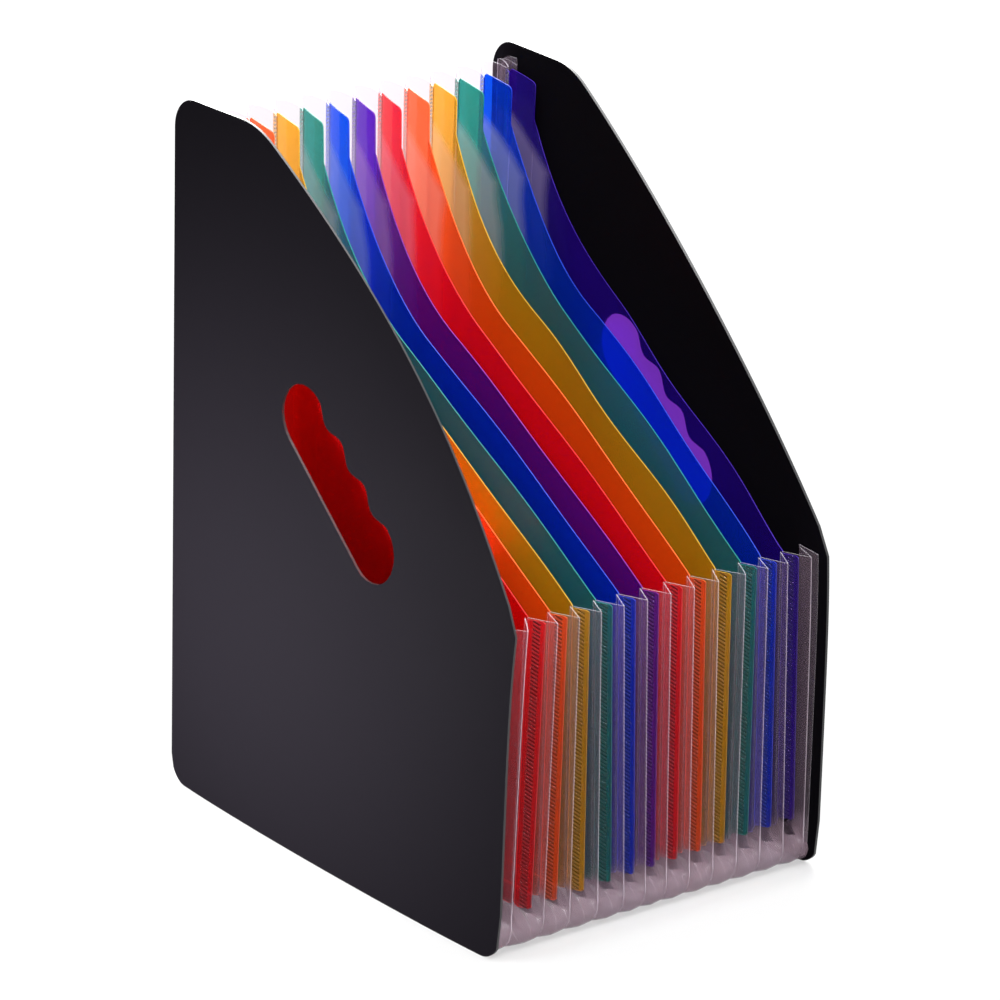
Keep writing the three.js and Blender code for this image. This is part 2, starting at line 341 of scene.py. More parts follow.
def slot_outline():
    """The hand hole's outline without its finger dips, as points in Y and Z about its centre:
    a slot with round ends, lying along Y."""
    return np.concatenate(
        [
            arc_corner(HOLE_STRAIGHT, 0, HOLE_HALF_WIDTH, -math.pi / 2, math.pi),
            arc_corner(-HOLE_STRAIGHT, 0, HOLE_HALF_WIDTH, math.pi / 2, math.pi),
        ]
    )


def polar(points):
    """A closed outline about the origin as sorted angles and distances, with points no
    further apart than the outline's spacing."""
    ends = np.roll(points, -1, axis=0)
    steps = max(1, int(np.linalg.norm(ends - points, axis=1).max() / OUTLINE_SPACING))
    t = np.linspace(0, 1, steps, endpoint=False)[None, :, None]
    dense = (points[:, None] * (1 - t) + ends[:, None] * t).reshape(-1, 2)
    angle = np.arctan2(dense[:, 1], dense[:, 0])
    order = np.argsort(angle)
    return angle[order], np.linalg.norm(dense, axis=1)[order]


def reach(outline, angle):
    """How far a closed outline is from the origin, in each direction."""
    angles, distances = polar(outline)
    return np.interp(angle, angles, distances, period=2 * math.pi)


def cover_angles(outline, slot):
    """The directions of a cover's columns, seen from the hand hole: through the points of both
    outlines, close together along the hole's plain side, and evenly all round."""
    along_side = np.linspace(-HOLE_STRAIGHT, HOLE_STRAIGHT, SIDE_STEPS + 1)
    angle = np.concatenate(
        [
            np.arctan2(outline[:, 1], outline[:, 0]),
            np.arctan2(slot[:, 1], slot[:, 0]),
            np.arctan2(-HOLE_HALF_WIDTH, along_side),
            np.linspace(-math.pi, math.pi, EVEN_COLUMNS, endpoint=False),
        ]
    )
    angle = np.unique(np.round(angle, 4))
    gap = np.diff(np.append(angle, angle[0] + 2 * math.pi))
    return angle[gap > MIN_TURN]


def cover(name, side, materials):
    """A cover: rings of points that change from the hand hole's outline to the cover's, bowed
    in X. The finger dips are a raised cosine along the hole's side that faces the slant."""
    turned = np.array(
        [[math.cos(HOLE_TILT), math.sin(HOLE_TILT)], [-math.sin(HOLE_TILT), math.cos(HOLE_TILT)]]
    )
    outline = (cover_outline() - [HOLE_Y, HOLE_Z]) @ turned.T
    slot = slot_outline()
    angle = cover_angles(outline, slot)
    direction = np.stack([np.cos(angle), np.sin(angle)], axis=1)
    inner = direction * reach(slot, angle)[:, None]
    outer = direction * reach(outline, angle)[:, None]
    share = np.clip((inner[:, 0] + HOLE_STRAIGHT) / (2 * HOLE_STRAIGHT), 0, 1)
    dip = FINGER_DEPTH / 2 * (1 - np.cos(2 * math.pi * FINGER_DIPS * share))
    on_dips = inner[:, 1] > HOLE_HALF_WIDTH - SIDE_TOLERANCE
    inner[:, 1] -= np.where(on_dips, dip, 0)
    rows = (np.linspace(0, 1, COVER_RINGS) ** RING_POWER)[:, None, None]
    grid = (inner * (1 - rows) + outer * rows) @ turned + [HOLE_Y, HOLE_Z]
    y, z = grid[..., 0], grid[..., 1]
    k = 0 if side < 0 else LAST_FOLD
    x = FOLD_X[k] + side * COVER_THICKNESS / 2 - side * cover_bow(y, z, side)
    skin = Skin()
    skin.add(x, y, z, y, z, closed=True)
    return skin.build(name, COVER_THICKNESS, materials)


# The dividers
TAB_PEAK = (104.7, 319.4)
TAB_REAR = (105.7, 318.4)
TAB_FRONT = (88.0, 316.3)
TAB_CORNER = 2.5
TAB_CORNER_RISE = 0.5  # of the tab's upper edge over its rounded corner
TAB_FOOT = (87.98, 299.0)
WAIST = (25.0, 228.5)
UPPER_AIMS = ((71.4, 267.3), (50.6, 242.2))  # of the curve from the tab to the waist
LOWER_AIMS = ((-0.6, 214.8), (-50.0, 186.0))  # of the curve from the waist to the front fold
FRONT_TIP = ((3.9, 151.4), (1.6, 149.9), (0.0, FRONT_TOP))  # distance from that fold, height
FLAP_WIDTH = 8.0
FLAP_LOW = 14.0  # lower end of the first flap
FLAP_RISE = 0.5  # of the lower end from one flap to the next
FLAP_SHORT = 1.0  # from a flap's upper end to the sheet's
FLAP_ROUND = 0.8
FLAP_U = 500.0  # pattern coordinate of a flap's fold, far from the sheet's own

# How far the dividers bow out of their planes
SWING = 4.0  # of a sheet's upper edge, deepest near the rear
SWING_PLACE = 5.5  # in the row, where the sheets swing furthest to the front cover
SWING_HALF_WAVE = 7  # places from there to the furthest swing to the back cover
SWING_SKEW = 0.6  # power of the distance from the rear, below 1 for a swing near the rear
RIPPLE = 0.5
RIPPLES = {9: 1.5, 10: 1.0, 11: 1.0, 12: 1.8}  # of the sheets that ripple more
RIPPLE_WAVES = 2.2  # along a sheet
RIPPLE_SHIFT = 0.37  # of a wave from one sheet to the next

# How fine their outlines and grids are
TAB_REAR_STEPS = 3
TAB_STEPS = 5
TAB_CORNER_STEPS = 4
UPPER_STEPS = 22
LOWER_STEPS = 34
SHEET_ROWS = 28
FLAP_ROWS = 30
FLAP_COLUMNS = 7


def divider_top():
    """The divider's upper edge from rear to front, as points in Y and Z that never step back
    towards the rear."""
    tab_y, tab_z = TAB_FRONT
    tab_lead = (tab_y + TAB_CORNER, tab_z + TAB_CORNER_RISE)
    drop_start = (tab_y, tab_z - TAB_CORNER)
    return np.concatenate(
        [
            np.linspace(TAB_REAR, TAB_PEAK, TAB_REAR_STEPS + 1),
            np.linspace(TAB_PEAK, tab_lead, TAB_STEPS + 1)[1:],
            arch(tab_lead, TAB_FRONT, drop_start, TAB_CORNER_STEPS)[1:-1],
            [drop_start, TAB_FOOT],
            bezier(TAB_FOOT, *UPPER_AIMS, WAIST, UPPER_STEPS)[1:],
            bezier(WAIST, *LOWER_AIMS, (-VALLEY_Y, FRONT_TOP), LOWER_STEPS)[1:-2],
            [(-VALLEY_Y + distance, height) for distance, height in FRONT_TIP],
        ]
    )


TOP_EDGE = divider_top()


def sheet_bow(k, y, z):
    """How far a divider bows out of its plane: a wave along its upper edge, deepest near the
    rear, with small ripples, fading towards its foot."""
    across = np.clip((VALLEY_Y - y) / (2 * VALLEY_Y), 0, 1)
    top = np.interp(-y, -TOP_EDGE[:, 0], TOP_EDGE[:, 1])
    high = np.clip((z - VALLEY_Z) / (top - VALLEY_Z), 0, 1)
    swing = -SWING * math.cos(math.pi * (k - SWING_PLACE) / SWING_HALF_WAVE)
    waves = RIPPLE_WAVES * across + RIPPLE_SHIFT * k
    ripple = RIPPLES.get(k, RIPPLE) * np.sin(2 * math.pi * waves)
    free = np.sqrt(np.clip(4 * across * (1 - across), 0, 1))
    return (swing * np.sin(np.pi * across**SWING_SKEW) + ripple * free) * high**2


def divider(k, materials):
    """A divider: columns from its foot to its upper edge, and a flap folded out at each end
    that lies inside the gusset's panel."""
    skin = Skin()
    y, top = TOP_EDGE[:, 0], TOP_EDGE[:, 1]
    into_corner = np.clip(np.abs(y) - (VALLEY_Y - VALLEY_CORNER), 0, VALLEY_CORNER)
    bottom = VALLEY_Z + VALLEY_CORNER - np.sqrt(VALLEY_CORNER**2 - into_corner**2)
    z = bottom + (top - bottom) * np.linspace(0, 1, SHEET_ROWS)[:, None]
    y = np.broadcast_to(y, z.shape)
    skin.add(FOLD_X[k] + lean(k, y, z) + sheet_bow(k, y, z), y, z, y, z)
    width = np.linspace(0, FLAP_WIDTH, FLAP_COLUMNS)[None, :]
    near_tip = np.clip(width - (FLAP_WIDTH - FLAP_ROUND), 0, FLAP_ROUND)
    shorter = FLAP_ROUND - np.sqrt(FLAP_ROUND**2 - near_tip**2)
    low = FLAP_LOW + FLAP_RISE * k
    rows = np.linspace(0, 1, FLAP_ROWS)[:, None]
    for side, sheet_top in ((1, TAB_REAR[1]), (-1, FRONT_TOP)):
        high = sheet_top - FLAP_SHORT
        z = low + shorter + (high - low - 2 * shorter) * rows
        y = side * (VALLEY_Y + width * math.cos(PANEL_ANGLE)) + 0 * z
        x = FOLD_X[k] + width * math.sin(PANEL_ANGLE) + lean(k, y, z)
        skin.add(x, y, z, FLAP_U + width, z)
    return skin.build(f"sheet_{k:02d}", SHEET_THICKNESS, materials)


# The gusset
CORNER_Y = VALLEY_Y - VALLEY_CORNER  # centre of the folds' lower corners
CORNER_Z = VALLEY_Z + VALLEY_CORNER
RIDGE_REACH = VALLEY_CORNER + PLEAT_DEPTH  # of a ridge, level from a lower corner's centre
RIDGE_DROP = 18.2  # of a ridge, straight down from there
RIDGE_SQUARENESS = 4.0
RIDGE_ROUND = 0.05  # by which the ridge fold is blunted
RIDGE_SWELL = 2.0  # of the rear ridges in X, at their tops
SLACK_FROM = math.radians(6)  # where the film of a lower corner begins to open, below level
SLACK_TO = math.radians(88)
SLACK_RAMP = math.radians(26)
SLACK_BULGE = 1.2  # of the slack film beyond its ridges
FILM_TOP = 320.0  # of the gusset at its rear valley folds
FILM_TOP_RISE = 1.6  # of its zigzag upper edge, between the folds
FILM_TOP_WAVE = 0.9  # of half a wave, from valley to ridge
STRIP_TOP = 323.5  # of the strips that lie on the covers
STRIP_ROUND = 9.0
STRIP_FRONT_TOP = 150.0
STRIP_FRONT_FALL = 0.06  # of its upper edge, for each millimetre out
LOWEST_FILM = 0.3  # height of the film where it touches the floor

# Painted highlight on the gusset's folds, from 0 to 1 for a bright line
VALLEY_HIGHLIGHT = 0.2
RIDGE_SIDE_HIGHLIGHT = 0.1
HIGHLIGHT_END = math.radians(64)  # where a fold's painted highlight has faded out, below level
HIGHLIGHT_FADE = math.radians(24)  # angle in which it fades

# How fine the pleats' grid is
PANEL_SHARES = np.array([0, 0.03, 0.25, 0.5, 0.75, 0.95, 0.98])  # from valley to ridge
CORNER_TURNS = np.radians([0, 6, 12, 17, 22, 27, 32, 36, 40, 44, 48, 52, 58, 64, 70, 76, 82, 90])
STRIP_STEPS = 7
REAR_STEPS = 29
FRONT_STEPS = 21
FOOT_STEPS = 19


def ridge_corner(angle):
    """How far a ridge is from a lower corner's centre, the angle being from level to straight
    down: a rounded square, the curve |y/reach|^p + |z/drop|^p = 1."""
    p = RIDGE_SQUARENESS
    level = (np.cos(angle) / RIDGE_REACH) ** p
    down = (np.sin(angle) / RIDGE_DROP) ** p
    return (level + down) ** (-1 / p)


def slackness(angle):
    """How far the folds of a lower corner open out, from 0 where the film is folded to 1 where
    it is slack: a squared sine that rises and falls with the angle below level."""
    rise = np.clip((angle - SLACK_FROM) / SLACK_RAMP, 0, 1)
    fall = np.clip((SLACK_TO - angle) / SLACK_RAMP, 0, 1)
    return np.sin(math.pi / 2 * rise) ** 2 * np.sin(math.pi / 2 * fall) ** 2


def panel(x, out, ridge_x):
    """One panel of a pleat, from a valley fold at x and out to the ridge fold."""
    along = x + (ridge_x - x) * PANEL_SHARES
    return np.stack([along, out + (PLEAT_DEPTH - out) * PANEL_SHARES], 1)


def strip(x):
    """The strip of the gusset that lies on a cover, from its valley fold outwards."""
    return np.stack([np.full(STRIP_STEPS, x), np.linspace(0, PLEAT_DEPTH, STRIP_STEPS + 1)[1:]], 1)


def pleat_section(k):
    """The pleat's section as X, distance out from the valley fold, place k in the row, and a
    mark that is 1 on its ridge: two panels with a slightly blunted ridge between them, and a
    strip on the cover at either end of the row."""
    start, start_out = -WELD_X * math.cos(PANEL_ANGLE), WELD_OUT
    end, end_out = PANEL_END_X, WELD_OUT
    ridge = RIDGE_X
    if k == 0:
        start, start_out = STRIP_X, 0.0
        end = PANEL_END_X + POCKET_WIDTHS[0] - POCKET_WIDTHS[1]
        ridge = (STRIP_X + end) / 2
    if k == DIVIDERS:
        end, end_out = POCKET_WIDTHS[-1] - STRIP_X, 0.0
    first = panel(start, start_out, ridge)
    second = panel(end, end_out, ridge)[::-1]
    line = np.concatenate([first, [[ridge, PLEAT_DEPTH - RIDGE_ROUND]], second])
    half = np.zeros(len(PANEL_SHARES))
    half[0] = VALLEY_HIGHLIGHT
    half[-1] = RIDGE_SIDE_HIGHLIGHT
    fold = np.concatenate([half, [1], half[::-1]])
    place = np.interp(FOLD_X[k] + line[:, 0], FOLD_X, np.arange(LAST_FOLD + 1))
    strip_fold = np.full(STRIP_STEPS, VALLEY_HIGHLIGHT)
    if k == 0:
        line = np.concatenate([strip(start)[::-1], line])
        fold = np.concatenate([strip_fold, fold])
        place = np.concatenate([np.zeros(STRIP_STEPS), place])
        place[: STRIP_STEPS + 1] = 0
    if k == DIVIDERS:
        line = np.concatenate([line, strip(end)])
        fold = np.concatenate([fold, strip_fold])
        place = np.concatenate([place, np.zeros(STRIP_STEPS)])
        place[-STRIP_STEPS - 1 :] = LAST_FOLD
    return FOLD_X[k] + line[:, 0], line[:, 1], place, fold


def upright(side, out, top, shares):
    """Rows of a pleat up one side, at shares of the way from the lower corner to the top. The
    results are Y, Z, how slack the film is and how bright the painted highlight on its folds is,
    and so are those of the next two functions."""
    share = shares[:, None]
    y = side * (VALLEY_Y + out) + 0 * share
    z = CORNER_Z + (top - CORNER_Z) * share
    return y, z, 0 * share, 1 + 0 * share


def lower_corner(side, out, opens, turns):
    """Rows of a pleat round a lower corner, at angles below level. Its valley folds follow an
    arc and its ridges a rounded square, and where it is slack the valleys swell out to them."""
    turn = turns[:, None]
    scale = (ridge_corner(turn) - VALLEY_CORNER) / PLEAT_DEPTH
    slack = slackness(turn)
    inwards = 1 - out / PLEAT_DEPTH
    opened = PLEAT_DEPTH * scale * inwards + SLACK_BULGE * np.sqrt(inwards)
    far = VALLEY_CORNER + out * scale + opened * slack * opens
    y = side * (CORNER_Y + far * np.cos(turn))
    z = CORNER_Z - far * np.sin(turn)
    return y, z, slack, np.clip((HIGHLIGHT_END - turn) / HIGHLIGHT_FADE, 0, 1)


def foot(out):
    """Rows of a pleat under the sheets, from rear to front."""
    y = np.linspace(CORNER_Y, -CORNER_Y, FOOT_STEPS + 1)[1:-1, None]
    z = VALLEY_Z - out * (RIDGE_DROP - VALLEY_CORNER) / PLEAT_DEPTH
    return y + 0 * out, z + 0 * y, 0 * y, 0 * y


def pleat(k, materials):
    """A pleat of the gusset: its section carried down the rear side, round both lower corners
    and up the front side."""
    x, out, place, fold = pleat_section(k)
    depth = out / PLEAT_DEPTH
    on_cover = np.isin(place, (0, LAST_FOLD))
    opens = np.where(on_cover, 0, 1)
    corner = np.clip(out - (PLEAT_DEPTH - STRIP_ROUND), 0, STRIP_ROUND)
    strip_top = STRIP_TOP - (STRIP_ROUND - np.sqrt(STRIP_ROUND**2 - corner**2))
    film_top = FILM_TOP + FILM_TOP_RISE * np.sin(math.pi * depth * FILM_TOP_WAVE)
    rear_top = np.where(on_cover, strip_top, film_top)
    front_top = np.where(on_cover, STRIP_FRONT_TOP - STRIP_FRONT_FALL * out, FRONT_TOP)
    stretches = [
        upright(1, out, rear_top, np.linspace(1, 0, REAR_STEPS + 1)[:-1]),
        lower_corner(1, out, opens, CORNER_TURNS),
        foot(out),
        lower_corner(-1, out, opens, CORNER_TURNS[::-1]),
        upright(-1, out, front_top, np.linspace(0, 1, FRONT_STEPS + 1)[1:]),
    ]
    y, z, slack, fold_highlight = (np.concatenate(part) for part in zip(*stretches))
    z = np.maximum(z, LOWEST_FILM)
    u = np.concatenate([[0], np.cumsum(np.hypot(np.diff(x), np.diff(out)))])
    v = np.concatenate([[0], np.cumsum(np.hypot(np.diff(y[:, 0]), np.diff(z[:, 0])))])
    ridge_shift = np.clip(y / VALLEY_Y, 0, 1) * np.clip(z / REAR_TOP, 0, 1) ** 2 * depth * opens
    swell = 0.0 if k in (0, DIVIDERS) else RIDGE_SWELL
    towards_seam = np.where(np.arange(len(x)) < len(x) / 2, -1, 1) * SEAM_GAP / 2
    seam_shift = slack * towards_seam * (1 - depth) * opens
    skin = Skin()
    x = x + settle(place, y, z) + swell * ridge_shift + seam_shift
    skin.add(x, y, z, u, v[:, None], fold * fold_highlight)
    return skin.build(f"pleat_{k:02d}", GUSSET_THICKNESS, materials)


# Shader nodes
def node(tree, kind, inputs=(), **settings):
    """Adds a shader node. Its inputs are values or other nodes' outputs, by name or number."""
    made = tree.nodes.new("ShaderNode" + kind)
    for name, value in settings.items():
        setattr(made, name, value)
    for name, value in dict(inputs).items():
        if isinstance(value, bpy.types.NodeSocket):
            tree.links.new(value, made.inputs[name])
        else:
            made.inputs[name].default_value = value
    return made


def new_material(name):
    """An empty material and its node tree."""
    material = bpy.data.materials.new(name)
    material.use_nodes = True
    material.node_tree.nodes.clear()
    return material, material.node_tree


def finish_with(tree, shader):
    """Makes a shader the material's surface."""
    output = tree.nodes.new("ShaderNodeOutputMaterial")
    tree.links.new(shader, output.inputs["Surface"])


def maths(tree, operation, first, second=0.0, third=0.0, clamp=False):
    """One step of arithmetic on numbers or outputs."""
    inputs = {0: first, 1: second, 2: third}
    return node(tree, "Math", inputs, operation=operation, use_clamp=clamp).outputs[0]


def split(tree, vector):
    """The three parts of a vector."""
    return node(tree, "SeparateXYZ", {0: vector}).outputs


def ramp(tree, value, stretch, results, smooth=False):
    """Goes from the first result to the second as the value crosses the stretch."""
    (start, end), (low, high) = stretch, results
    inputs = {"Value": value, "From Min": start, "From Max": end, "To Min": low, "To Max": high}
    kind = "SMOOTHSTEP" if smooth else "LINEAR"
    return node(tree, "MapRange", inputs, interpolation_type=kind).outputs[0]


def noise(tree, place, scale, detail):
    """A cloudy pattern around 0.5; a larger scale makes it finer."""
    inputs = {"Vector": place, "Scale": scale, "Detail": detail}
    return node(tree, "TexNoise", inputs).outputs["Fac"]


def relief(tree, height, strength, distance):
    """The surface's normals with a height pattern on it, a distance in metres high."""
    inputs = {"Height": height, "Strength": strength, "Distance": distance}
    return node(tree, "Bump", inputs).outputs[0]


def blend_colours(tree, share, first, second):
    """The first colour where the share is 0 and the second where it is 1."""
    return node(tree, "Mix", {0: share, 6: first, 7: second}, data_type="RGBA").outputs[2]


def blend_shaders(tree, share, first, second):
    """The first shader where the share is 0 and the second where it is 1."""
    return node(tree, "MixShader", {0: share, 1: first, 2: second}).outputs[0]


def plastic(tree, colour, roughness, specular, more=()):
    """A solid plastic surface; `more` holds further inputs by name."""
    inputs = {"Base Color": colour, "Roughness": roughness, "Specular IOR Level": specular}
    return node(tree, "BsdfPrincipled", {**inputs, **dict(more)}).outputs[0]


def linear(hex_colour):
    """A colour written as six hexadecimal digits, as linear red, green, blue and 1."""
    parts = [int(hex_colour[i : i + 2], 16) / 255 for i in (0, 2, 4)]
    return [p / 12.92 if p <= 0.04045 else ((p + 0.055) / 1.055) ** 2.4 for p in parts] + [1.0]


def toned(colour, tone):
    """A colour with each part multiplied by the tone's gain and raised by its lift."""
    gain, lift = tone
    return [gain * part + lift for part in colour[:3]] + [1.0]


# Finishes
COVER_BLACK = (0.003, 0.0026, 0.0035, 1.0)
COVER_EDGE_BLACK = (0.012, 0.012, 0.013, 1.0)


def cover_material():
    """Black polypropylene with a fine leathery grain and a soft sheen."""
    material, tree = new_material("cover_black")
    place = node(tree, "TexCoord").outputs["Object"]
    grain = noise(tree, place, scale=1400.0, detail=2.0)
    normal = relief(tree, grain, strength=0.35, distance=0.00012)
    patches = noise(tree, place, scale=12.0, detail=3.0)
    rough = ramp(tree, patches, (0.3, 0.7), (0.5, 0.58))
    skin = plastic(tree, COVER_BLACK, rough, specular=0.0025, more={"Normal": normal})
    finish_with(tree, skin)
    return material


def cover_rim_material():
    """The cut edge of a cover."""
    material, tree = new_material("cover_cut_edge")
    place = node(tree, "TexCoord").outputs["Object"]
    grain = noise(tree, place, scale=500.0, detail=3.0)
    normal = relief(tree, grain, strength=0.2, distance=0.0001)
    more = {"Normal": normal}
    finish_with(tree, plastic(tree, COVER_EDGE_BLACK, roughness=0.42, specular=0.4, more=more))
    return material


WELD_PITCH = 1.8
WELD_CENTRE = 4.1
WELD_HALF_WIDTH = 1.7
WELD_SLANT = 0.45
WELD_BAR = 0.22  # half a mark's share of the pitch
WELD_HIGHLIGHT_LIP = 0.36  # the same with the lip round it, where a highlight is painted


def weld_marks(tree, across, along):
    """A row of slanting weld marks that repeat along the fold. The results are 1 on a mark,
    and 1 on the raised lip round it, where a highlight is painted, and 0 elsewhere."""
    off = maths(tree, "ABSOLUTE", maths(tree, "SUBTRACT", across, WELD_CENTRE))
    inside = maths(tree, "LESS_THAN", off, WELD_HALF_WIDTH)
    slanted = maths(tree, "ADD", along, maths(tree, "MULTIPLY", across, WELD_SLANT))
    phase = maths(tree, "FRACT", maths(tree, "DIVIDE", slanted, WELD_PITCH))
    from_middle = maths(tree, "ABSOLUTE", maths(tree, "SUBTRACT", phase, 0.5))
    bar = maths(tree, "MULTIPLY", inside, maths(tree, "LESS_THAN", from_middle, WELD_BAR))
    wide = maths(tree, "MULTIPLY", inside, maths(tree, "LESS_THAN", from_middle, WELD_HIGHLIGHT_LIP))
    return bar, maths(tree, "SUBTRACT", wide, bar)


# Painted reflection: a pale milky colour on the upper rear of each sheet stands in for the
# reflection of the bright rear
PAINTED_REFLECTION_MILK = (0.62, 0.52, 0.54, 1.0)
PAINTED_REFLECTION = 0.27  # strongest share of the painted reflection, a pale milky colour, in a face
PAINTED_REFLECTION_FRONT = 72.0  # Y of its front end
PAINTED_REFLECTION_TOP = 304.0  # height of its top at the rear fold
PAINTED_REFLECTION_FALL = 0.8  # how steeply its top falls towards the front
PAINTED_REFLECTION_SOFT = 7.0  # width of its soft border
PAINTED_REFLECTION_WAVE = 11.0  # how far its border waves in and out


def painted_reflection_share(tree, place):
    """How much painted reflection a sheet shows, as a pale milky colour: along its rear fold, from
    below the tab down, with a wavy end.
    """
    wave = maths(tree, "SUBTRACT", noise(tree, place, scale=28.0, detail=0.0), 0.5)
    where = split(tree, place)
    y = maths(tree, "ADD", where[1], maths(tree, "MULTIPLY", wave, PAINTED_REFLECTION_WAVE * MM))
    top = maths(tree, "MULTIPLY", maths(tree, "SUBTRACT", VALLEY_Y * MM, y), PAINTED_REFLECTION_FALL)
    below = maths(tree, "SUBTRACT", maths(tree, "SUBTRACT", PAINTED_REFLECTION_TOP * MM, top), where[2])
    rear = maths(tree, "SUBTRACT", y, PAINTED_REFLECTION_FRONT * MM)
    depth = maths(tree, "MINIMUM", below, rear)
    return ramp(tree, depth, (0.0, PAINTED_REFLECTION_SOFT * MM), (0.0, PAINTED_REFLECTION))


CLEARNESS = 0.74  # of each of a sheet's two faces
WELD_DULLNESS = 0.7  # how much less clear a weld mark is
WELD_DEPTH = 0.12  # of a weld mark, as a share of the sheet's waviness
WELD_TONE = (0.12, 0.0)  # gain and lift that turn the sheet's colour into another
# painted highlight: the lighter colour of the lips round the weld marks
LIP_HIGHLIGHT_TONE = (1.2, 0.12)
RIM_TONE = (0.6, 0.01)
PALE_RIM_TONE = (0.65, 0.015)
SCATTER = 0.4  # share of the light that a solid face scatters through
POLISH = 0.02  # share of light that a face reflects head on
POLISH_GAIN = 0.5  # how much more it reflects edge on
POLISH_POWER = 4.0


def sheet_material(name, body, clear):
    """Tinted translucent sheet with a polished face: light is partly scattered in the sheet's
    own colour and partly let through. A painted reflection turns it milky along the rear fold,
    and on the flaps it carries the weld marks, with a painted highlight on their lips."""
    material, tree = new_material(name)
    coordinates = node(tree, "TexCoord").outputs
    place = coordinates["Object"]
    pattern = split(tree, coordinates["UV"])
    marks, lip_highlight = weld_marks(tree, maths(tree, "SUBTRACT", pattern[0], FLAP_U), pattern[1])
    waviness = noise(tree, place, scale=22.0, detail=2.0)
    height = maths(tree, "MULTIPLY_ADD", marks, -WELD_DEPTH, waviness)
    normal = relief(tree, height, strength=0.6, distance=0.0012)
    # painted highlight on the weld marks' lips
    lit = blend_colours(tree, lip_highlight, body, toned(body, LIP_HIGHLIGHT_TONE))
    tone = blend_colours(tree, marks, lit, toned(body, WELD_TONE))
    skin = plastic(tree, tone, roughness=0.3, specular=0.2, more={"Normal": normal})
    glow = node(tree, "BsdfTranslucent", {"Color": tone}).outputs[0]
    solid = blend_shaders(tree, SCATTER, skin, glow)
    through = node(tree, "BsdfTransparent", {"Color": clear}).outputs[0]
    amount = maths(tree, "SUBTRACT", CLEARNESS, maths(tree, "MULTIPLY", marks, WELD_DULLNESS))
    tinted = blend_shaders(tree, amount, solid, through)
    front = node(tree, "BsdfDiffuse", {"Color": PAINTED_REFLECTION_MILK}).outputs[0]
    behind = node(tree, "BsdfTranslucent", {"Color": PAINTED_REFLECTION_MILK}).outputs[0]
    painted_reflection_shader = blend_shaders(tree, 0.5, front, behind)
    # the painted reflection, a milky colour mixed in along the rear fold
    with_painted_reflection = blend_shaders(tree, painted_reflection_share(tree, place), tinted, painted_reflection_shader)
    facing = node(tree, "LayerWeight", {"Blend": 0.5, "Normal": normal}).outputs["Facing"]
    edge_on = maths(tree, "POWER", facing, POLISH_POWER)
    polish = maths(tree, "MULTIPLY_ADD", edge_on, POLISH_GAIN, POLISH)
    gloss = node(tree, "BsdfGlossy", {"Color": WHITE, "Roughness": 0.08, "Normal": normal})
    finish_with(tree, blend_shaders(tree, polish, with_painted_reflection, gloss.outputs[0]))
    return material


def sheet_rim_material(name, body):
    """The cut edge of a sheet, where the light comes out pale."""
    material, tree = new_material(name)
    place = node(tree, "TexCoord").outputs["Object"]
    nicks = noise(tree, place, scale=150.0, detail=2.0)
    pale = toned(body, PALE_RIM_TONE)
    tone = blend_colours(tree, nicks, toned(body, RIM_TONE), pale)
    skin = plastic(tree, tone, roughness=0.4, specular=0.2)
    glow = node(tree, "BsdfTranslucent", {"Color": pale}).outputs[0]
    finish_with(tree, blend_shaders(tree, SCATTER, skin, glow))
    return material


# Colour of the film's haze, kept dark as painted shade
FILM_HAZE_AND_SHADE = (0.25, 0.18, 0.215, 1.0)
# paler colour of the film on its folds, a painted highlight
FILM_FOLD_HIGHLIGHT = (0.75, 0.68, 0.75, 1.0)
FILM_CLEAR = (0.97, 0.955, 0.975, 1.0)
FILM_EDGE = (0.70, 0.66, 0.72, 1.0)
WELDED_HAZE = 0.01  # how hazy the film is where it is welded to a flap
FREE_HAZE = 0.06
# painted shade: the film's foot is hazier in the dark haze colour
FOOT_SHADE_HAZE = 0.42
FOOT_SHADE_TOP = 27.0  # height where the painted shade of the foot has faded out
CLOUD_HAZE = 0.02
# painted highlight: how much less clear the film is on its folds
FOLD_HIGHLIGHT_HAZE = 0.5
SEAM_ALPHA = 0.08  # how solid the film's cut edge is down the seams
TOP_EDGE_ALPHA = 0.28


